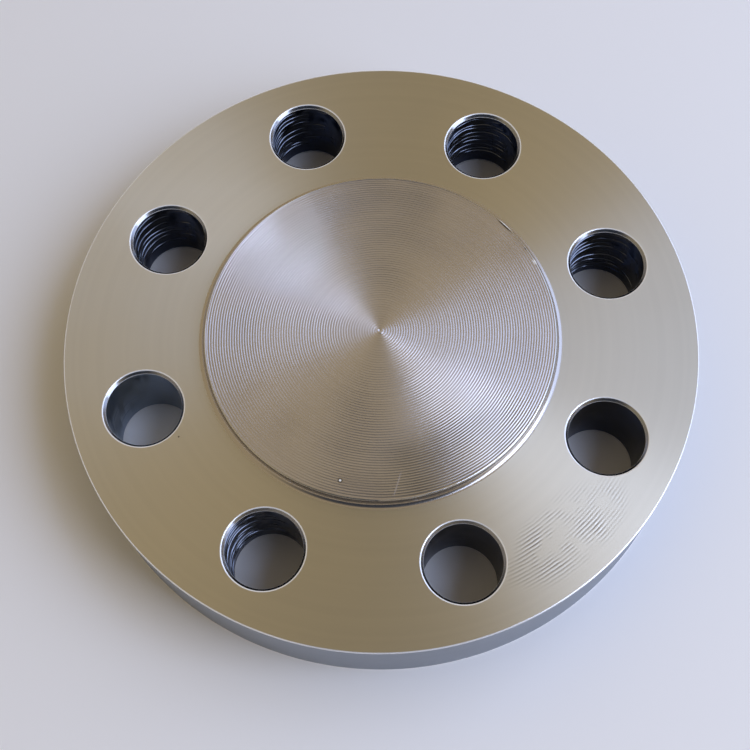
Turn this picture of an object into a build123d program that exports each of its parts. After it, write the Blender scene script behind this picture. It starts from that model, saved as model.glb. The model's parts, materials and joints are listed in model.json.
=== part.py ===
from build123d import *
import os

# A blind flange: one forged steel disc, turned all over and drilled for eight bolts. It closes the
# end of a flanged pipe. It lies on its back face, with the raised gasket face up. The origin is the
# centre of the back face, and +Z is the flange's own axis.

# Bolt holes, in millimetres
BOLT_COUNT = 8
BOLT_CIRCLE_DIAMETER = 170.0
BOLT_HOLE_DIAMETER = 26.0
BOLT_HOLE_BEVEL = 1.0  # both mouths, at 45 degrees

# Disc
RIM_MARGIN = 12.0  # metal left between a bolt hole and the rim
RIM_EDGE_BREAK = 0.4  # both rims, at 45 degrees
FLANGE_THICKNESS = 34.0  # from the back face to the gasket face
FLANGE_DIAMETER = BOLT_CIRCLE_DIAMETER + BOLT_HOLE_DIAMETER + 2 * RIM_MARGIN

# Raised gasket face
FACE_DIAMETER = 122.0
FACE_HEIGHT = 3.0
FACE_ROOT_RADIUS = 2.0  # left by the nose of the turning tool
FACE_EDGE_BREAK = 0.2

# The holes straddle the centre lines, so no hole lies on +X or +Y
FIRST_HOLE_ANGLE = 180.0 / BOLT_COUNT

# Worked out from the sizes above
FLANGE_RADIUS = FLANGE_DIAMETER / 2
FACE_RADIUS = FACE_DIAMETER / 2
PLATE_THICKNESS = FLANGE_THICKNESS - FACE_HEIGHT


def turned_section():
    """Half section of the disc in the XZ plane, from its axis out to the rim."""
    with BuildSketch(Plane.XZ) as section:
        with BuildLine():
            back = Line((0, 0), (FLANGE_RADIUS - RIM_EDGE_BREAK, 0))
            back_edge = Line(back @ 1, (FLANGE_RADIUS, RIM_EDGE_BREAK))
            rim = Line(back_edge @ 1, (FLANGE_RADIUS, PLATE_THICKNESS - RIM_EDGE_BREAK))
            front_edge = Line(rim @ 1, (FLANGE_RADIUS - RIM_EDGE_BREAK, PLATE_THICKNESS))
            plate_front = Line(front_edge @ 1, (FACE_RADIUS + FACE_ROOT_RADIUS, PLATE_THICKNESS))
            face_root = JernArc(plate_front @ 1, (-1, 0), FACE_ROOT_RADIUS, -90)
            face_wall = Line(face_root @ 1, (FACE_RADIUS, FLANGE_THICKNESS - FACE_EDGE_BREAK))
            face_edge = Line(face_wall @ 1, (FACE_RADIUS - FACE_EDGE_BREAK, FLANGE_THICKNESS))
            gasket_face = Line(face_edge @ 1, (0, FLANGE_THICKNESS))
            Line(gasket_face @ 1, back @ 0)
        make_face()
    return section.sketch


def bolt_hole_section():
    """Half section of one bolt hole in the XZ plane: a straight bore that opens out at both mouths."""
    bore_radius = BOLT_HOLE_DIAMETER / 2
    mouth_radius = bore_radius + BOLT_HOLE_BEVEL
    with BuildSketch(Plane.XZ) as section:
        with BuildLine():
            Polyline(
                (0, 0),
                (mouth_radius, 0),
                (bore_radius, BOLT_HOLE_BEVEL),
                (bore_radius, PLATE_THICKNESS - BOLT_HOLE_BEVEL),
                (mouth_radius, PLATE_THICKNESS),
                (0, PLATE_THICKNESS),
                close=True,
            )
        make_face()
    return section.sketch


def blind_flange():
    """The disc turned about its axis, then drilled on the bolt circle."""
    with BuildPart() as flange:
        add(turned_section())
        revolve(axis=Axis.Z)
        with BuildPart(mode=Mode.PRIVATE) as bolt_hole:
            add(bolt_hole_section())
            revolve(axis=Axis.Z)
        with PolarLocations(BOLT_CIRCLE_DIAMETER / 2, BOLT_COUNT, start_angle=FIRST_HOLE_ANGLE):
            add(bolt_hole.part, mode=Mode.SUBTRACT)
    return flange.part


os.makedirs("parts", exist_ok=True)
export_step(blind_flange(), "parts/blind_flange.step")
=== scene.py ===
import json
import math
from functools import partial

import bmesh
import bpy
from bpy.props import FloatProperty, FloatVectorProperty, IntProperty, PointerProperty
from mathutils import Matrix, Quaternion, Vector, noise


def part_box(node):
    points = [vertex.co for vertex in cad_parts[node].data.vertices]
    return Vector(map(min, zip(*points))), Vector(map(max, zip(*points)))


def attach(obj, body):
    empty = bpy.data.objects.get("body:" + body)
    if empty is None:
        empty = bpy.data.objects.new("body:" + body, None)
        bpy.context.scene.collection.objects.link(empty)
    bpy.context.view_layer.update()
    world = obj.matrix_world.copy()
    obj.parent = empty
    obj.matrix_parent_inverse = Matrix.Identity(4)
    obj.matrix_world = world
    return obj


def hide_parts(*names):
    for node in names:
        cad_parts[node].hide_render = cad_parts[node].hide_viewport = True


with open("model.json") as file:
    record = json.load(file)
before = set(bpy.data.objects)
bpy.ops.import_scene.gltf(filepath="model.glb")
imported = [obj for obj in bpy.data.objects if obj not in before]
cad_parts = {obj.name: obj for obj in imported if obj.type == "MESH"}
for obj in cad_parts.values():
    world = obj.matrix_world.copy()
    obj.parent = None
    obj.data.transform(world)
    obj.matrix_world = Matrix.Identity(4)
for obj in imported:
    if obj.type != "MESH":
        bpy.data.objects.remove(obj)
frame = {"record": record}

bl_info = {
    "name": "Blind flange",
    "version": (1, 0, 0),
    "blender": (4, 5, 0),
    "location": "View3D > Sidebar > Flange",
    "description": "Turns, drills and finishes a steel blind flange, and lights it",
    "category": "Object",
}

NODE = "blind_flange"
BODY = "root"
MM = 0.001
WELD = 0.002 * MM  # points nearer than this become one
DISC_STEPS, HOLE_STEPS, BACKDROP_STEPS = 240, 80, 96  # round a full turn

# The finishes, in the order of the flange's materials
PLATE, GASKET_FACE, FACE_EDGE, FACE_WALL, FACE_ROOT, RIM = range(6)
BORE, PALE_BORE, DRILL_RIDGE, BEVEL, BROKEN_EDGE = range(6, 11)

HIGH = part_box(NODE)[1]
BOLTS = next(m for m in frame["record"]["mounts"] if m["kind"] == "bolt_pattern")["dims"]

# Each hole's drill marks, anticlockwise from +X: the share of the ridges' full depth, their pitch in
# millimetres, and the side, in degrees, that the drill pulled to and where it left most of them
CHATTER = (
    (1.0, 3.0, 120.0),
    (1.0, 2.8, 125.0),
    (0.8, 2.6, 155.0),
    (1.0, 3.4, 150.0),
    (0.3, 5.0, 180.0),
    (1.0, 3.2, 165.0),
    (0.05, 4.0, 150.0),
    (0.05, 4.0, 150.0),
)
PALE_HOLE = 4  # its wall is almost smooth, and paler and bluer: a painted reflection
PITCH_UNEVEN = 0.7  # how much the pitch of the ridges varies
PULL, CHANCE = 0.9, 1.2  # how strongly the drill's pull, and chance, place the ridges round the bore
RIDGE_DRIFT = 0.7 * MM  # how far a ridge strays up and down

# The spiral groove
GROOVE_NOSE = ((0.0, 0.0), (0.25, 0.75), (0.5, 1.0), (0.75, 0.75))  # shares of its pitch and its depth
GROOVE_START = 0.35  # share of its depth in the middle of the face
GROOVE_FULL_RADIUS = 50 * MM  # from here out it has its full depth
GROOVE_UNEVEN, UNEVEN_PER_METRE = 0.5, 70.0  # how much, and how often, its depth varies
GROOVE_WANDER, WANDERS_PER_METRE = 0.14 * MM, 110.0  # how far, and how often, it strays off the spiral
GROOVE_ENDS = 2 * MM  # it strays less over this width at both ends

# The spot that the tool left in the middle of the face, as radii and depths in millimetres
CENTRE_SPOT = ((0.0, 0.2), (0.35, 0.15), (0.7, 0.0), (1.1, 0.0))

MARK_REACH = 25 * MM  # how far down from the gasket face a mark shows: on the plate, not on the back


class FlangeForm(bpy.types.PropertyGroup):
    """Sizes of the turned and drilled disc."""

    rim_radius: FloatProperty(
        name="Rim radius", description="Radius of the disc", unit="LENGTH", precision=4, default=HIGH.x
    )
    thickness: FloatProperty(
        name="Thickness", description="Back face to gasket face", unit="LENGTH", precision=4, default=HIGH.z
    )
    rim_edge: FloatProperty(
        name="Rim edge", description="Radius of the broken edge of both rims", unit="LENGTH", precision=5,
        default=0.4 * MM,
    )
    face_height: FloatProperty(
        name="Face height", description="Height of the raised gasket face", unit="LENGTH", precision=4,
        default=3.0 * MM,
    )
    face_radius: FloatProperty(
        name="Face radius", description="Radius of the raised gasket face", unit="LENGTH", precision=4,
        default=61.0 * MM,
    )
    face_edge: FloatProperty(
        name="Face edge", description="Radius of the broken edge of the gasket face", unit="LENGTH",
        precision=5, default=0.5 * MM,
    )
    face_root: FloatProperty(
        name="Face root", description="Tool radius at the foot of the gasket face", unit="LENGTH",
        precision=5, default=2.0 * MM,
    )
    hole_count: IntProperty(name="Bolt holes", description="Holes on the bolt circle", default=BOLTS["count"])
    bolt_circle_radius: FloatProperty(
        name="Bolt circle radius", description="Radius of the circle through the bolt holes", unit="LENGTH",
        precision=4, default=BOLTS["pcd_mm"] / 2 * MM,
    )
    hole_radius: FloatProperty(
        name="Hole radius", description="Radius of a bolt hole", unit="LENGTH", precision=4,
        default=BOLTS["hole_r_mm"] * MM,
    )
    hole_bevel: FloatProperty(
        name="Hole bevel", description="Width of the bevel at each mouth of a hole", unit="LENGTH",
        precision=5, default=1.0 * MM,
    )
    lip_radius: FloatProperty(
        name="Lip radius", description="Radius between the plate and a hole's bevel", unit="LENGTH",
        precision=5, default=0.6 * MM,
    )
    bore_edge: FloatProperty(
        name="Bore edge", description="Radius between a hole's bevel and its wall", unit="LENGTH",
        precision=5, default=0.25 * MM,
    )


class FlangeFinish(bpy.types.PropertyGroup):
    """Tool marks and colours."""

    groove_pitch: FloatProperty(
        name="Groove pitch", description="Pitch of the spiral groove on the gasket face", unit="LENGTH",
        precision=5, default=0.9 * MM,
    )
    groove_depth: FloatProperty(
        name="Groove depth", description="Depth of the spiral groove", unit="LENGTH", precision=6,
        default=0.29 * MM,
    )
    ridge_depth: FloatProperty(
        name="Drill ridge depth", description="How far a ridge stands out of the wall", unit="LENGTH",
        precision=5, default=0.22 * MM,
    )
    ridge_ledge: FloatProperty(
        name="Drill ridge ledge", description="Height over which a ridge ends", unit="LENGTH", precision=5,
        default=0.1 * MM,
    )
    plate_colour: FloatVectorProperty(
        name="Plate steel", description="Colour of the turned plate", subtype="COLOR", size=3,
        min=0.0, max=1.0, default=(0.60, 0.56, 0.475),
    )
    face_colour: FloatVectorProperty(
        name="Gasket face steel", description="Colour of the grooved face", subtype="COLOR", size=3,
        min=0.0, max=1.0, default=(0.59, 0.555, 0.55),
    )
    face_edge_colour: FloatVectorProperty(
        name="Face edge steel", description="Colour of the broken edge of the gasket face",
        subtype="COLOR", size=3, min=0.0, max=1.0, default=(0.62, 0.60, 0.57),
    )
    # darker than the gasket face and the plate: painted shade on the wall under the face's edge
    wall_shade_colour: FloatVectorProperty(
        name="Face wall steel", description="Colour of the wall under that edge, dull from the tool's flank",
        subtype="COLOR", size=3, min=0.0, max=1.0, default=(0.42, 0.42, 0.44),
    )
    root_colour: FloatVectorProperty(
        name="Face root steel", description="Colour of the tool radius at the foot of that wall",
        subtype="COLOR", size=3, min=0.0, max=1.0, default=(0.52, 0.48, 0.45),
    )
    # darker and bluer than the plate's steel: a painted dark reflection on the outer wall
    rim_reflection_colour: FloatVectorProperty(
        name="Rim steel", description="Colour of the outer wall", subtype="COLOR", size=3,
        min=0.0, max=1.0, default=(0.23, 0.255, 0.295),
    )
    # near black and bluish: painted shade and dark reflection inside the bores
    bore_shade_colour: FloatVectorProperty(
        name="Bore steel", description="Colour of the drilled walls", subtype="COLOR", size=3,
        min=0.0, max=1.0, default=(0.04, 0.055, 0.10),
    )
    # paler and bluer than the other bores: a painted reflection on that wall
    pale_bore_reflection_colour: FloatVectorProperty(
        name="Pale bore steel", description="Colour of the bore that came out paler and almost smooth",
        subtype="COLOR", size=3, min=0.0, max=1.0, default=(0.26, 0.31, 0.38),
    )
    # lighter than the bore wall: painted light on the ledges of the ridges, which face up
    ridge_lit_colour: FloatVectorProperty(
        name="Ridge steel", description="Colour of the ridges that the drill left", subtype="COLOR", size=3,
        min=0.0, max=1.0, default=(0.13, 0.14, 0.17),
    )
    # darker than the plate's steel: a painted dark reflection on the bevels of the holes
    bevel_shade_colour: FloatVectorProperty(
        name="Bevel steel", description="Colour of the bevels of the holes", subtype="COLOR", size=3,
        min=0.0, max=1.0, default=(0.34, 0.35, 0.38),
    )
    # near white and only partly metallic: painted highlight along the broken edges of the rim and the holes,
    # over their fresh steel
    edge_highlight_colour: FloatVectorProperty(
        name="Edge steel", description="Colour of the fresh broken edges", subtype="COLOR", size=3,
        min=0.0, max=1.0, default=(0.96, 0.96, 0.97),
    )


class FlangeStudio(bpy.types.PropertyGroup):
    """Floor, lamps, surroundings and camera."""

    floor_colour: FloatVectorProperty(
        name="Floor", description="Colour of the floor and backdrop", subtype="COLOR", size=3,
        min=0.0, max=1.0, default=(0.92, 0.89, 0.86),
    )
    room_colour: FloatVectorProperty(
        name="Room", description="Soft light from all round", subtype="COLOR", size=3,
        min=0.0, max=1.0, default=(0.49, 0.405, 0.262),
    )
    camera_side_colour: FloatVectorProperty(
        name="Camera side", description="Dimmer light from behind the camera", subtype="COLOR", size=3,
        min=0.0, max=1.0, default=(0.05, 0.058, 0.075),
    )
    camera_side_elevation: FloatProperty(
        name="Camera side elevation", description="Height of that dimmer side above the horizon",
        subtype="ANGLE", default=math.radians(42.0),
    )
    lamp_elevation: FloatProperty(
        name="Lamp elevation", description="Height of both lamps above the horizon", subtype="ANGLE",
        default=math.radians(41.0),
    )
    lamp_distance: FloatProperty(
        name="Lamp distance", description="From the flange to both lamps", unit="LENGTH", default=1.6
    )
    lamp_height: FloatProperty(
        name="Lamp height", description="Height of the face of both lamps", unit="LENGTH", default=1.5
    )
    key_colour: FloatVectorProperty(
        name="Key lamp", description="Colour of the bright lamp", subtype="COLOR", size=3,
        min=0.0, max=1.0, default=(0.57, 0.695, 1.0),
    )
    key_azimuth: FloatProperty(
        name="Key lamp azimuth", description="Turn of the bright lamp from the camera's right",
        subtype="ANGLE", default=math.radians(-22.0),
    )
    key_width: FloatProperty(
        name="Key lamp width", description="Width of the bright lamp", unit="LENGTH", default=0.9
    )
    key_radiance: FloatProperty(
        name="Key lamp strength", description="Brightness of the bright lamp's face", default=3.45
    )
    fill_colour: FloatVectorProperty(
        name="Fill lamp", description="Colour of the dimmer lamp", subtype="COLOR", size=3,
        min=0.0, max=1.0, default=(0.39, 0.57, 1.0),
    )
    fill_azimuth: FloatProperty(
        name="Fill lamp azimuth", description="Turn of the dimmer lamp from the camera's right",
        subtype="ANGLE", default=math.radians(22.0),
    )
    fill_width: FloatProperty(
        name="Fill lamp width", description="Width of the dimmer lamp", unit="LENGTH", default=1.3
    )
    fill_radiance: FloatProperty(
        name="Fill lamp strength", description="Brightness of the dimmer lamp's face", default=1.4
    )
    camera_azimuth: FloatProperty(
        name="Camera azimuth", description="Turn of the camera round the flange", subtype="ANGLE",
        default=math.radians(5.89),
    )
    camera_elevation: FloatProperty(
        name="Camera elevation", description="Height of the camera above the horizon", subtype="ANGLE",
        default=math.radians(65.97),
    )
    camera_roll: FloatProperty(
        name="Camera roll", description="Tilt of the picture", subtype="ANGLE", default=math.radians(-2.81)
    )
    camera_distance: FloatProperty(
        name="Camera distance", description="From the middle of the plate", unit="LENGTH", default=0.4353
    )
    camera_aim: FloatVectorProperty(
        name="Camera aim", description="Aim on the plate, right of its middle and away from the camera",
        unit="LENGTH", size=2, default=(-2.24 * MM, -15.22 * MM),
    )
    camera_lens: FloatProperty(name="Lens", description="Focal length in millimetres", default=60.1)


def toward(azimuth, elevation):
    """Unit vector at that turn, anticlockwise from +X, and that angle above the horizon."""
    flat = math.cos(elevation)
    return Vector((flat * math.cos(azimuth), flat * math.sin(azimuth), math.sin(elevation)))


# Mesh


def rounded(points, radii, steps=3):
    """The chain of (radius, height) points, with an arc of its own radius in place of each inner corner."""
    corners = [Vector(point) for point in points]
    line = corners[:1]
    for before, corner, after, radius in zip(corners, corners[1:], corners[2:], radii):
        back, on = (before - corner).normalized(), (after - corner).normalized()
        half = back.angle(on) / 2
        centre = corner + (back + on).normalized() * radius / math.sin(half)
        start = corner + back * radius / math.tan(half) - centre
        end = corner + on * radius / math.tan(half) - centre
        line += [centre + radius * start.slerp(end, i / steps) for i in range(steps + 1)]
    return line + corners[-1:]


def turned(points, steps, material, advance=0.0):
    """A patch: a chain of (radius, height) points turned once round Z, moving out by advance in the turn."""
    bm = bmesh.new()
    verts = [bm.verts.new((radius, 0.0, height)) for radius, height in points]
    edges = [bm.edges.new(pair) for pair in zip(verts, verts[1:])]
    bmesh.ops.spin(
        bm, geom=verts + edges, cent=(0, 0, 0), axis=(0, 0, 1), dvec=(advance / steps, 0, 0),
        angle=math.tau, steps=steps, use_merge=advance == 0.0,
    )
    for face in bm.faces:
        face.material_index = material
    return bm


def joined(patches):
    """One bmesh of all the patches, welded where their edges meet."""
    whole = bmesh.new()
    for patch in patches:
        mesh = bpy.data.meshes.new("patch")
        patch.to_mesh(mesh)
        patch.free()
        whole.from_mesh(mesh)
        bpy.data.meshes.remove(mesh)
    bmesh.ops.remove_doubles(whole, verts=whole.verts, dist=WELD)
    return whole


def upside_down(chain, thickness):
    """The chain of the upper side as the back has it."""
    return [(radius, thickness - height) for radius, height in reversed(chain)]


def groove_points(form, finish, inner, turns):
    """One radius across the gasket face: a round-nosed groove cut once in each pitch."""
    pitch, depth = finish.groove_pitch, finish.groove_depth
    points = [
        (inner + pitch * (i + out), form.thickness - depth * down)
        for i in range(turns) for out, down in GROOVE_NOSE
    ]
    return points + [(inner + pitch * turns, form.thickness)]


def grooved_ring(form, finish, steps, inner, outer):
    """The grooved face: one radius swept round, and out by one pitch in the turn, which makes a spiral."""
    pitch = finish.groove_pitch
    turns = math.ceil((outer - inner) / pitch) + 2
    bm = turned(groove_points(form, finish, inner - pitch, turns), steps, GASKET_FACE, advance=pitch)
    for v in bm.verts:
        radius = v.co.xy.length
        if not inner + WELD < radius < outer - WELD:
            v.co.xy *= (inner if radius < (inner + outer) / 2 else outer) / radius
            v.co.z = form.thickness
            continue
        place = Vector((v.co.x, v.co.y, 0.0))
        fade = min(1.0, (outer - radius) / GROOVE_ENDS, (radius - inner) / GROOVE_ENDS)
        depth = GROOVE_START + (1.0 - GROOVE_START) * min(1.0, radius / GROOVE_FULL_RADIUS)
        depth *= 1.0 + GROOVE_UNEVEN * noise.noise(place * UNEVEN_PER_METRE)
        v.co.z = form.thickness - (form.thickness - v.co.z) * depth
        v.co.xy *= 1.0 + fade * GROOVE_WANDER * noise.noise(place * WANDERS_PER_METRE) / radius
    bmesh.ops.remove_doubles(bm, verts=bm.verts, dist=WELD)
    return bm


def ridged_wall(form, finish, index, top, bottom):
    """The wall of a bore: it widens slowly downwards and steps in again at each ridge that the drill left."""
    strength, pitch, _ = CHATTER[index % len(CHATTER)]
    depth, ledge, pitch = finish.ridge_depth * strength, finish.ridge_ledge, pitch * MM
    points = [(form.hole_radius, top)]
    height = top - pitch / 2
    while height > bottom + pitch:
        points += [(form.hole_radius + depth, height + ledge / 2), (form.hole_radius, height - ledge / 2)]
        place = Vector((7.3 * index, 1.3 * height / pitch, 0.0))
        height -= pitch * (1.0 + PITCH_UNEVEN * noise.noise(place))
    return points + [(form.hole_radius, bottom)]


def wall_noise(side, height, turns, run, seed):
    """Noise over the wall of a bore: turns sets its scale round the wall, and run its scale down it."""
    return noise.noise(side * turns + Vector((seed, 0.0, height / run)))


def spread_ridges(bm, index, radius, bottom, top):
    """Leaves the ridges where the drill pulled to, broken up by chance, and lets them stray."""
    pull = toward(math.radians(CHATTER[index % len(CHATTER)][2]), 0.0)
    for v in bm.verts:
        if not bottom < v.co.z < top:
            continue
        out = v.co.xy.length
        side = Vector((v.co.x / out, v.co.y / out, 0.0))
        chance = wall_noise(side, v.co.z, turns=2.2, run=3 * MM, seed=5.0 * index)
        share = PULL * side.dot(pull) + CHANCE * chance
        v.co.xy *= (radius + (out - radius) * min(1.0, max(0.0, share))) / out
        v.co.z += RIDGE_DRIFT * wall_noise(side, v.co.z, turns=2.0, run=6 * MM, seed=3.0 * index)


def bore(form, finish, index):
    """One bolt hole: a soft bevel at both mouths and a wall with ridges."""
    angle = math.tau * (index + 0.5) / form.hole_count
    plate = form.thickness - form.face_height
    bevel, radius = form.hole_bevel, form.hole_radius
    mouth = [(radius + 2 * bevel, plate), (radius + bevel, plate), (radius, plate - bevel),
             (radius, plate - 2 * bevel)]
    mouth = rounded(mouth, (form.lip_radius, form.bore_edge))[1:-1]
    foot = upside_down(mouth, plate)
    wall = PALE_BORE if index == PALE_HOLE else BORE
    patches = [turned(ridged_wall(form, finish, index, mouth[-1][1], foot[0][1]), HOLE_STEPS, wall)]
    for chain in (mouth, foot):
        patches += [
            turned(chain[:4], HOLE_STEPS, BROKEN_EDGE),
            turned(chain[3:5], HOLE_STEPS, BEVEL),
            turned(chain[4:], HOLE_STEPS, BROKEN_EDGE),
        ]
    bm = joined(patches)
    spread_ridges(bm, index, radius, 2 * bevel, plate - 2 * bevel)
    bm.normal_update()
    # ledges that face up take the lighter ridge colour: painted light against the wall's painted shade
    for face in bm.faces:
        is_ledge = abs(face.normal.z) > 0.5
        if face.material_index == BORE and is_ledge:
            face.material_index = DRILL_RIDGE
    place = (form.bolt_circle_radius * math.cos(angle), form.bolt_circle_radius * math.sin(angle), 0.0)
    bmesh.ops.translate(bm, vec=place, verts=bm.verts)
    return bm


def cover(bm, height, material):
    """Fills the flat face at that height, between the open loops that lie in it."""
    edges = [e for e in bm.edges if e.is_boundary and all(abs(v.co.z - height) < WELD / 10 for v in e.verts)]
    made = bmesh.ops.triangle_fill(bm, use_beauty=True, use_dissolve=False, edges=edges, normal=(0, 0, 1))
    for face in (g for g in made["geom"] if isinstance(g, bmesh.types.BMFace)):
        face.material_index = material


def shade(bm, crease):
    """Smooth shading inside each finish, but not across its border, nor across a crease.

    The groove's own creases stay smooth.
    """
    for face in bm.faces:
        face.smooth = True
    for edge in bm.edges:
        first, second = (face.material_index for face in edge.link_faces)
        edge.smooth = first == second and (first == GASKET_FACE or edge.calc_face_angle() < crease)


def flange_mesh(form, finish):
    """The whole flange as one closed mesh."""
    steps = DISC_STEPS
    top, plate = form.thickness, form.thickness - form.face_height
    rim, edge, face = form.rim_radius, form.rim_edge, form.face_radius
    centre_spot = [(radius * MM, top - depth * MM) for radius, depth in CENTRE_SPOT]
    face_edge = rounded([(face - 2 * edge, top), (face, top), (face, plate)], [form.face_edge])[1:-1]
    face_root = rounded([(face, top), (face, plate), (rim, plate)], [form.face_root], steps=8)[1:-1]
    front_edge = rounded([(face, plate), (rim, plate), (rim, 0.0)], [edge])[1:-1]
    back_edge = upside_down(front_edge, plate)
    patches = [
        turned(centre_spot, steps, GASKET_FACE),
        grooved_ring(form, finish, steps, centre_spot[-1][0], face_edge[0][0]),
        turned(face_edge, steps, FACE_EDGE),
        turned([face_edge[-1]] + face_root[:3], steps, FACE_WALL),
        turned(face_root[2:], steps, FACE_ROOT),
        turned(front_edge, steps, BROKEN_EDGE),
        turned([front_edge[-1], back_edge[0]], steps, RIM),
        turned(back_edge, steps, BROKEN_EDGE),
    ]
    patches += [bore(form, finish, index) for index in range(form.hole_count)]
    bm = joined(patches)
    bmesh.ops.dissolve_degenerate(bm, dist=WELD / 4, edges=bm.edges)
    cover(bm, plate, PLATE)
    cover(bm, 0.0, PLATE)
    bmesh.ops.recalc_face_normals(bm, faces=bm.faces)
    open_edges = sum(not e.is_manifold for e in bm.edges)
    if open_edges:
        raise RuntimeError(f"the flange's mesh has {open_edges} open edges")
    shade(bm, crease=math.radians(30))
    mesh = bpy.data.meshes.new("turned_flange")
    bm.to_mesh(mesh)
    bm.free()
    return mesh


# Materials


def link(tree, source, target):
    tree.links.new(source, target)


def math_node(tree, operation, first, second=None):
    """A Math node. Each input is a number or the socket that feeds it."""
    node = tree.nodes.new("ShaderNodeMath")
    node.operation = operation
    for socket, value in zip(node.inputs, (first, second)):
        if isinstance(value, bpy.types.NodeSocket):
            link(tree, value, socket)
        elif value is not None:
            socket.default_value = value
    return node.outputs[0]


def mapped(tree, value, source=(0.0, 1.0), target=(0.0, 1.0), smooth=False):
    """Maps one range of a value on to another, and eases both ends if smooth."""
    node = tree.nodes.new("ShaderNodeMapRange")
    if smooth:
        node.interpolation_type = "SMOOTHSTEP"
    for end, (low, high) in (("From", source), ("To", target)):
        node.inputs[f"{end} Min"].default_value = low
        node.inputs[f"{end} Max"].default_value = high
    link(tree, value, node.inputs["Value"])
    return node.outputs["Result"]


def along(tree, vector, axes):
    """The vector with only the axes that are 1."""
    node = tree.nodes.new("ShaderNodeVectorMath")
    node.operation = "MULTIPLY"
    node.inputs[1].default_value = axes
    link(tree, vector, node.inputs[0])
    return node.outputs[0]


def length_of(tree, vector):
    node = tree.nodes.new("ShaderNodeVectorMath")
    node.operation = "LENGTH"
    link(tree, vector, node.inputs[0])
    return node.outputs["Value"]


def mixed(tree, mask, first, second):
    """A colour that goes from first to second with the mask. Each is a colour or a socket."""
    node = tree.nodes.new("ShaderNodeMix")
    node.data_type = "RGBA"
    link(tree, mask, node.inputs["Factor"])
    for socket, value in ((node.inputs["A"], first), (node.inputs["B"], second)):
        if isinstance(value, bpy.types.NodeSocket):
            link(tree, value, socket)
        else:
            socket.default_value = (*value, 1.0)
    return node.outputs["Result"]


def noise_of(tree, scale, detail, vector=None, line=None):
    """Noise over a vector, or over a number."""
    node = tree.nodes.new("ShaderNodeTexNoise")
    node.inputs["Scale"].default_value = scale
    node.inputs["Detail"].default_value = detail
    if line is None:
        link(tree, vector, node.inputs["Vector"])
    else:
        node.noise_dimensions = "1D"
        link(tree, line, node.inputs["W"])
    return node.outputs["Fac"]


def new_group(name, inputs, outputs):
    """A shader node group with named sockets. Returns its tree and its two ends."""
    tree = bpy.data.node_groups.new(name, "ShaderNodeTree")
    for socket, kind, value in inputs:
        made = tree.interface.new_socket(name=socket, in_out="INPUT", socket_type=kind)
        if value is not None:
            made.default_value = value
    for socket in outputs:
        tree.interface.new_socket(name=socket, in_out="OUTPUT", socket_type="NodeSocketFloat")
    return tree, tree.nodes.new("NodeGroupInput"), tree.nodes.new("NodeGroupOutput")


def tool_marks_group():
    """Fine lines across a direction, uneven from line to line and along each line."""
    tree, start, end = new_group(
        "tool_marks",
        [("Vector", "NodeSocketVector", None), ("Across", "NodeSocketVector", None),
         ("Line width", "NodeSocketFloat", 0.3 * MM)],
        ["Height", "Band"],
    )
    drift = noise_of(tree, scale=18.0, detail=2.0, vector=start.outputs["Vector"])
    lines = math_node(tree, "DIVIDE", length_of(tree, start.outputs["Across"]), start.outputs["Line width"])
    lines = math_node(tree, "ADD", lines, math_node(tree, "MULTIPLY", drift, 2.0))
    link(tree, noise_of(tree, scale=1.0, detail=2.0, line=lines), end.inputs["Height"])
    link(tree, noise_of(tree, scale=0.12, detail=3.0, line=lines), end.inputs["Band"])
    return tree


def handling_group():
    """Soft cloudy marks from handling and wiping."""
    tree, start, end = new_group(
        "handling_marks",
        [("Vector", "NodeSocketVector", None), ("Size", "NodeSocketFloat", 30.0 * MM)],
        ["Cloud"],
    )
    cloud = noise_of(tree, scale=1.0, detail=3.0, vector=start.outputs["Vector"])
    link(tree, math_node(tree, "DIVIDE", 1.0, start.outputs["Size"]), cloud.node.inputs["Scale"])
    link(tree, cloud, end.inputs["Cloud"])
    return tree


def spot_group():
    """A soft-edged oval: 1 at its centre and 0 from its edge outwards."""
    tree, start, end = new_group(
        "spot",
        [("Vector", "NodeSocketVector", None), ("Centre", "NodeSocketVector", None),
         ("Turn", "NodeSocketVector", None), ("Reach", "NodeSocketVector", None)],
        ["Mask"],
    )
    local = tree.nodes.new("ShaderNodeMapping")
    local.vector_type = "TEXTURE"
    pairs = (("Vector", "Vector"), ("Centre", "Location"), ("Turn", "Rotation"), ("Reach", "Scale"))
    for source, target in pairs:
        link(tree, start.outputs[source], local.inputs[target])
    out = length_of(tree, local.outputs["Vector"])
    link(tree, mapped(tree, out, source=(1.0, 0.4), smooth=True), end.inputs["Mask"])
    return tree


def placed(tree, group, **values):
    """A group's node in a material, with its inputs set or fed."""
    node = tree.nodes.new("ShaderNodeGroup")
    node.node_tree = group
    for name, value in values.items():
        socket = node.inputs[name.replace("_", " ")]
        if isinstance(value, bpy.types.NodeSocket):
            link(tree, value, socket)
        else:
            socket.default_value = value
    return node


def spot(tree, groups, place, radius, angle, across, length, lean=0.0):
    """An oval on the upper side, along the turning or leaning off it.

    Radius and angle are of its middle. Lengths are in millimetres, angles in degrees.
    """
    turn = math.radians(angle)
    centre = (radius * MM * math.cos(turn), radius * MM * math.sin(turn), HIGH.z)
    node = placed(
        tree, groups["spot"], Vector=place, Centre=centre, Turn=(0.0, 0.0, turn + math.radians(lean)),
        Reach=(across * MM / 2, length * MM / 2, MARK_REACH),
    )
    return node.outputs["Mask"]


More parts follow.
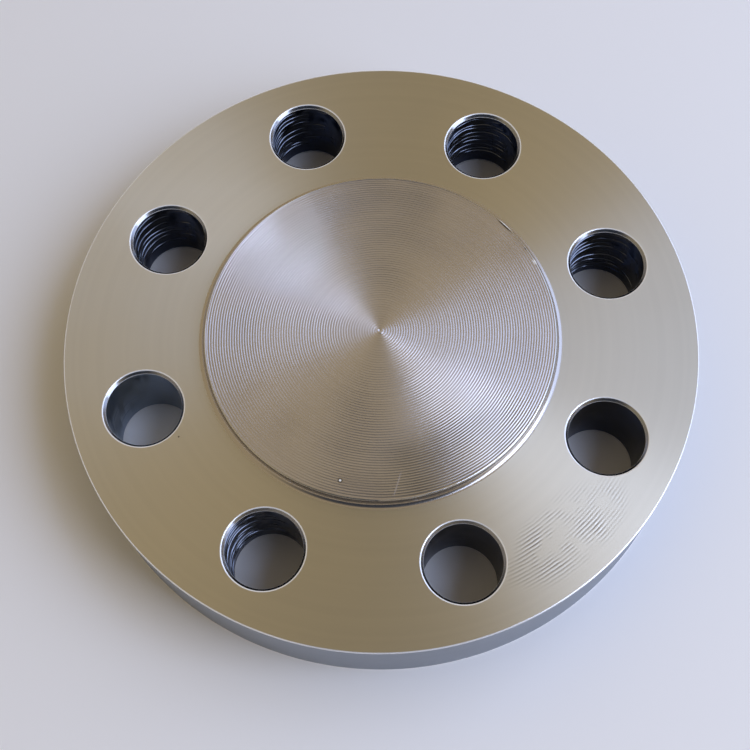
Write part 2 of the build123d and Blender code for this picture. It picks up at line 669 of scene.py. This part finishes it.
def steel(name, colour, line_width, roughness, bump, groups, across, anisotropy=0.0, tint=0.05, metallic=1.0):
    """Bare steel with tool marks across the given axes. Anisotropy spreads its light across turned marks.

    Line width is in millimetres, roughness a lowest and a highest value, and tint how far bands of the
    marks stray from the colour.
    """
    material = bpy.data.materials.new(name)
    material.use_nodes = True
    tree = material.node_tree
    shader = tree.nodes["Principled BSDF"]
    shader.inputs["Metallic"].default_value = metallic
    if anisotropy:
        shader.inputs["Anisotropic"].default_value = anisotropy
        shader.inputs["Anisotropic Rotation"].default_value = 0.25  # a quarter turn, across the marks
        tangent = tree.nodes.new("ShaderNodeTangent")
        tangent.direction_type = "RADIAL"
        tangent.axis = "Z"
        link(tree, tangent.outputs["Tangent"], shader.inputs["Tangent"])
    place = tree.nodes.new("ShaderNodeTexCoord").outputs["Object"]
    marks = placed(
        tree, groups["tool_marks"], Vector=place, Across=along(tree, place, across),
        Line_width=line_width * MM,
    )
    clouds = placed(tree, groups["handling_marks"], Vector=place)
    link(tree, mapped(tree, clouds.outputs["Cloud"], target=roughness), shader.inputs["Roughness"])
    dark = [c * (1.0 - tint) for c in colour]
    pale = [min(1.0, c * (1.0 + tint)) for c in colour]
    link(tree, mixed(tree, marks.outputs["Band"], dark, pale), shader.inputs["Base Color"])
    relief = tree.nodes.new("ShaderNodeBump")
    relief.inputs["Distance"].default_value = MM
    link(tree, math_node(tree, "MULTIPLY", marks.outputs["Height"], bump), relief.inputs["Height"])
    link(tree, relief.outputs["Normal"], shader.inputs["Normal"])
    return material


def add_marks(material, marks, pale_marks=(), relief=None):
    """Lays (mask, colour) marks over the steel's colour, and adds a height in millimetres to its relief.

    A pale mark is a burr or a scratch, too rough to mirror, so it takes the metal's shine away; a near-white
    one paints a glint.
    """
    tree = material.node_tree
    shader = tree.nodes["Principled BSDF"]
    base = shader.inputs["Base Color"]
    colour = base.links[0].from_socket
    for mask, tone in (*marks, *pale_marks):
        colour = mixed(tree, mask, colour, tone)
    link(tree, colour, base)
    if pale_marks:
        rough = pale_marks[0][0]
        for mask, _ in pale_marks[1:]:
            rough = math_node(tree, "MAXIMUM", rough, mask)
        link(tree, math_node(tree, "SUBTRACT", 1.0, rough), shader.inputs["Metallic"])
    if relief is not None:
        height = tree.nodes["Bump"].inputs["Height"]
        link(tree, math_node(tree, "ADD", height.links[0].from_socket, relief), height)


def turning_lines(tree, place, patch, pitch, waviness):
    """Uneven turned lines inside a patch: their height from -1 to 1, and how strongly they show."""
    radius = length_of(tree, along(tree, place, (1.0, 1.0, 0.0)))
    waver = math_node(tree, "MULTIPLY", noise_of(tree, scale=160.0, detail=2.0, vector=place), waviness)
    turns = math_node(tree, "MULTIPLY", radius, math.tau / pitch)
    wave = math_node(tree, "SINE", math_node(tree, "ADD", turns, waver))
    broken = mapped(tree, noise_of(tree, scale=110.0, detail=2.0, vector=place), source=(0.38, 0.62))
    return wave, math_node(tree, "MULTIPLY", patch, broken)


def crests_and_valleys(tree, wave, shown):
    """Masks of the upper and the lower half of a wave."""
    upper = math_node(tree, "MAXIMUM", wave, 0.0)
    lower = math_node(tree, "MAXIMUM", math_node(tree, "MULTIPLY", wave, -1.0), 0.0)
    return [math_node(tree, "MULTIPLY", half, shown) for half in (upper, lower)]


def mark_plate(material, groups):
    """The plate's marks: a speck, and a patch of turning lines, in relief and in painted highlight and shade.
    """
    tree = material.node_tree
    place = tree.nodes["Texture Coordinate"].outputs["Object"]
    patch = spot(tree, groups, place, radius=93.5, angle=-45.5, across=27.0, length=58.0)
    wave, shown = turning_lines(tree, place, patch, pitch=1.15 * MM, waviness=3.5)
    relief = math_node(tree, "MULTIPLY", math_node(tree, "MULTIPLY", wave, shown), 0.03)
    lit_crests, shaded_valleys = crests_and_valleys(tree, wave, shown)
    speck = spot(tree, groups, place, radius=77.5, angle=-147.2, across=0.8, length=0.8)
    # the crests' pale colour is painted highlight, and the valleys' dark colour is painted shade
    marks = [(lit_crests, (0.74, 0.71, 0.65)), (shaded_valleys, (0.20, 0.18, 0.16)), (speck, (0.12, 0.11, 0.09))]
    add_marks(material, marks, relief=relief)


def mark_gasket_face(material, groups):
    """The gasket face's marks: a nick, a dent and a dash by its edge, a speck, a scratch, a few lines.

    The nick and the dent are painted shade and the dash a painted glint; the lines have painted highlight on
    their crests and painted shade in their valleys.
    """
    tree = material.node_tree
    place = tree.nodes["Texture Coordinate"].outputs["Object"]
    dark, pale = (0.14, 0.12, 0.10), (1.0, 0.98, 0.92)
    patch = spot(tree, groups, place, radius=54.0, angle=-93.0, across=15.0, length=22.0)
    wave, shown = turning_lines(tree, place, patch, pitch=0.95 * MM, waviness=3.0)
    lit_crests, shaded_valleys = crests_and_valleys(tree, wave, shown)

    def mark(radius, angle, across, length, lean=0.0):
        return spot(tree, groups, place, radius, angle, across, length, lean)

    # the lit crests and shaded valleys are painted highlight and shade; the dark nick and dent are painted
    # shade
    dark_marks = [
        (lit_crests, (0.64, 0.59, 0.58)),
        (shaded_valleys, (0.42, 0.39, 0.39)),
        (mark(60.3, 46.5, across=0.8, length=9.5), dark),
        (mark(60.6, 35.5, across=1.0, length=1.6), dark),
        (mark(55.4, -99.7, across=2.2, length=2.2), dark),
    ]
    # the near-white dash is not metallic: a painted glint on a burr
    pale_marks = [
        (mark(60.3, 29.8, across=0.6, length=3.2), pale),
        (mark(55.4, -99.7, across=1.2, length=1.2), pale),
        (mark(55.6, -80.1, across=12.0, length=0.6, lean=-22.7), (0.40, 0.32, 0.23)),
    ]
    add_marks(material, dark_marks, pale_marks)


def oil_and_groove_shade(material, groups, top, depth):
    """Oil left in two places in the groove, which lies depth below top: glossy, with painted shade at its
    bottom.
    """
    tree = material.node_tree
    shader = tree.nodes["Principled BSDF"]
    place = tree.nodes["Texture Coordinate"].outputs["Object"]
    near = spot(tree, groups, place, radius=54.0, angle=-54.0, across=46.0, length=84.0)
    left = spot(tree, groups, place, radius=54.0, angle=-174.0, across=40.0, length=70.0)
    oil_and_shade = math_node(tree, "ADD", near, math_node(tree, "MULTIPLY", left, 0.3))
    roughness = shader.inputs["Roughness"]
    gloss = math_node(tree, "SUBTRACT", 1.0, math_node(tree, "MULTIPLY", oil_and_shade, 0.25))
    link(tree, math_node(tree, "MULTIPLY", gloss, roughness.links[0].from_socket), roughness)
    parts = tree.nodes.new("ShaderNodeSeparateXYZ")
    link(tree, place, parts.inputs[0])
    # painted shade: darker towards the bottom of the groove
    bottom = mapped(tree, parts.outputs["Z"], source=(top - 0.3 * depth, top - depth), target=(0.0, 0.7))
    add_marks(material, [(math_node(tree, "MULTIPLY", bottom, oil_and_shade), (0.12, 0.11, 0.10))])


def mark_face_edge(material, groups):
    """The burrs on the gasket face's edge, beside its nick and its dash: near white and not metallic, painted
    glints.
    """
    tree = material.node_tree
    place = tree.nodes["Texture Coordinate"].outputs["Object"]
    burr_glint = (0.90, 0.87, 0.80)
    nick = spot(tree, groups, place, radius=60.9, angle=46.5, across=1.0, length=9.5)
    dash = spot(tree, groups, place, radius=60.9, angle=29.8, across=1.0, length=3.2)
    add_marks(material, marks=(), pale_marks=[(nick, burr_glint), (dash, burr_glint)])


def flange_materials(form, finish):
    """The finishes, in the order of the face numbers."""
    groups = {"tool_marks": tool_marks_group(), "handling_marks": handling_group(), "spot": spot_group()}
    turned_steel = partial(steel, groups=groups, across=(1.0, 1.0, 0.0))
    wall_steel = partial(steel, groups=groups, across=(0.0, 0.0, 1.0))
    plate = turned_steel("turned_plate", finish.plate_colour, 0.35, (0.37, 0.45), 0.002,
                         anisotropy=0.85, tint=0.03)
    gasket_face = turned_steel("grooved_face", finish.face_colour, 0.2, (0.36, 0.42), 0.002,
                               anisotropy=0.75)
    face_edge = turned_steel("face_edge", finish.face_edge_colour, 0.3, (0.20, 0.28), 0.001)
    mark_plate(plate, groups)
    mark_gasket_face(gasket_face, groups)
    oil_and_groove_shade(gasket_face, groups, form.thickness, finish.groove_depth)
    mark_face_edge(face_edge, groups)
    return [
        plate,
        gasket_face,
        face_edge,
        # the face wall's darker colour is painted shade
        turned_steel("face_wall", finish.wall_shade_colour, 0.3, (0.24, 0.30), 0.001),
        turned_steel("face_root", finish.root_colour, 0.3, (0.18, 0.24), 0.001),
        # the rim's dark bluish colour is a painted reflection
        wall_steel("turned_rim", finish.rim_reflection_colour, 0.4, (0.26, 0.36), 0.003, anisotropy=0.5),
        # the bores' near-black colour is painted shade
        wall_steel("drilled_bore", finish.bore_shade_colour, 0.5, (0.24, 0.34), 0.008, tint=0.2),
        # this bore's paler bluish colour is a painted reflection
        wall_steel("pale_bore", finish.pale_bore_reflection_colour, 0.5, (0.30, 0.40), 0.004, tint=0.1),
        # the ridges' lighter colour is painted light
        wall_steel("drill_ridge", finish.ridge_lit_colour, 0.5, (0.20, 0.28), 0.001),
        # the bevels' darker colour is a painted dark reflection
        wall_steel("hole_bevel", finish.bevel_shade_colour, 0.4, (0.16, 0.22), 0.001),
        # the broken edges' near-white colour is painted highlight
        wall_steel("broken_edge", finish.edge_highlight_colour, 0.4, (0.20, 0.28), 0.001, metallic=0.4),
    ]


class FLANGE_OT_turned_flange(bpy.types.Operator):
    """Turn and drill the flange, and give each of its faces its finish"""

    bl_idname = "flange.turned_flange"
    bl_label = "Turned flange"

    def execute(self, context):
        form, finish = context.scene.flange_form, context.scene.flange_finish
        mesh = flange_mesh(form, finish)
        for material in flange_materials(form, finish):
            mesh.materials.append(material)
        piece = bpy.data.objects.new("turned_flange", mesh)
        context.scene.collection.objects.link(piece)
        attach(piece, BODY)
        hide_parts(NODE)
        return {"FINISHED"}


# Stage


def stage_material(studio):
    material = bpy.data.materials.new("pale_floor")
    material.use_nodes = True
    shader = material.node_tree.nodes["Principled BSDF"]
    shader.inputs["Base Color"].default_value = (*studio.floor_colour, 1.0)
    shader.inputs["Roughness"].default_value = 0.9
    shader.inputs["Specular IOR Level"].default_value = 0.1
    return material


def backdrop(studio):
    """A round floor that curves up into a low wall."""
    reach, curve, wall = 3.6, 0.6, 1.0
    chain = rounded([(0.0, 0.0), (reach, 0.0), (reach, wall)], [curve], steps=12)
    bm = turned(chain, BACKDROP_STEPS, material=0)
    bmesh.ops.remove_doubles(bm, verts=bm.verts, dist=WELD)
    bmesh.ops.recalc_face_normals(bm, faces=bm.faces)
    for face in bm.faces:
        face.smooth = True
    mesh = bpy.data.meshes.new("backdrop")
    bm.to_mesh(mesh)
    bm.free()
    mesh.materials.append(stage_material(studio))
    piece = bpy.data.objects.new("backdrop", mesh)
    bpy.context.scene.collection.objects.link(piece)


def lamp(studio, name, colour, azimuth, width, radiance):
    """A large soft lamp that faces the flange, at that turn from the camera's right.

    The face of such a lamp is as bright as its power over four times its area.
    """
    data = bpy.data.lights.new(name, "AREA")
    data.shape = "RECTANGLE"
    data.size, data.size_y = width, studio.lamp_height
    data.color = colour
    data.energy = 4.0 * radiance * data.size * data.size_y
    item = bpy.data.objects.new(name, data)
    away = toward(studio.camera_azimuth + azimuth, studio.lamp_elevation)
    item.location = away * studio.lamp_distance
    item.rotation_mode = "QUATERNION"
    item.rotation_quaternion = away.to_track_quat("Z", "Y")
    item.visible_camera = False
    bpy.context.scene.collection.objects.link(item)


def surroundings(studio):
    """Soft light from all round, dimmer where whoever holds the camera stands."""
    world = bpy.data.worlds.new("surroundings")
    world.use_nodes = True
    tree = world.node_tree
    side = tree.nodes.new("ShaderNodeVectorMath")
    side.operation = "DOT_PRODUCT"
    side.inputs[1].default_value = toward(studio.camera_azimuth - math.pi / 2, studio.camera_side_elevation)
    link(tree, tree.nodes.new("ShaderNodeTexCoord").outputs["Generated"], side.inputs[0])
    dim = mapped(tree, side.outputs["Value"], source=(0.66, 0.94), smooth=True)
    light = mixed(tree, dim, studio.room_colour, studio.camera_side_colour)
    link(tree, light, tree.nodes["Background"].inputs["Color"])
    bpy.context.scene.world = world


def camera(studio, middle):
    """The camera, which looks down on the flange and a little to its near left."""
    right = toward(studio.camera_azimuth, 0.0)
    ahead = toward(studio.camera_azimuth + math.pi / 2, 0.0)
    back = toward(studio.camera_azimuth - math.pi / 2, studio.camera_elevation)
    aim = middle + right * studio.camera_aim[0] + ahead * studio.camera_aim[1]
    data = bpy.data.cameras.new("camera")
    data.lens = studio.camera_lens
    data.clip_start, data.clip_end = 0.01, 50.0
    item = bpy.data.objects.new("camera", data)
    item.location = middle + back * studio.camera_distance
    item.rotation_mode = "QUATERNION"
    look = (aim - item.location).to_track_quat("-Z", "Y")
    item.rotation_quaternion = look @ Quaternion((0, 0, 1), studio.camera_roll)
    bpy.context.scene.collection.objects.link(item)
    bpy.context.scene.camera = item


class FLANGE_OT_stage(bpy.types.Operator):
    """Set out the floor, the lamps, the surroundings and the camera"""

    bl_idname = "flange.stage"
    bl_label = "Stage"

    def execute(self, context):
        studio, form = context.scene.flange_studio, context.scene.flange_form
        backdrop(studio)
        lamp(
            studio, "key_lamp", studio.key_colour, studio.key_azimuth, studio.key_width,
            studio.key_radiance,
        )
        lamp(
            studio, "fill_lamp", studio.fill_colour, studio.fill_azimuth, studio.fill_width,
            studio.fill_radiance,
        )
        surroundings(studio)
        camera(studio, Vector((0.0, 0.0, form.thickness - form.face_height)))
        context.scene.view_settings.view_transform = "Standard"
        return {"FINISHED"}


class FLANGE_PT_panel(bpy.types.Panel):
    """The flange's sizes and finishes, and its operators"""

    bl_idname = "FLANGE_PT_panel"
    bl_label = "Blind flange"
    bl_space_type = "VIEW_3D"
    bl_region_type = "UI"
    bl_category = "Flange"

    def draw(self, context):
        for settings in (context.scene.flange_form, context.scene.flange_finish, context.scene.flange_studio):
            box = self.layout.box()
            for name in settings.__annotations__:
                box.prop(settings, name)
        self.layout.operator(FLANGE_OT_turned_flange.bl_idname)
        self.layout.operator(FLANGE_OT_stage.bl_idname)


SETTINGS = {"flange_form": FlangeForm, "flange_finish": FlangeFinish, "flange_studio": FlangeStudio}
CLASSES = (*SETTINGS.values(), FLANGE_OT_turned_flange, FLANGE_OT_stage, FLANGE_PT_panel)


def register():
    for item in CLASSES:
        bpy.utils.register_class(item)
    for name, group in SETTINGS.items():
        setattr(bpy.types.Scene, name, PointerProperty(type=group))


def unregister():
    for name in SETTINGS:
        delattr(bpy.types.Scene, name)
    for item in reversed(CLASSES):
        bpy.utils.unregister_class(item)


def corners(bounds):
    return [list(corner) for corner in bounds]


def main():
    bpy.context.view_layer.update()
    register()
    bpy.ops.flange.turned_flange()
    bpy.ops.flange.stage()


if __name__ == "__main__":
    main()
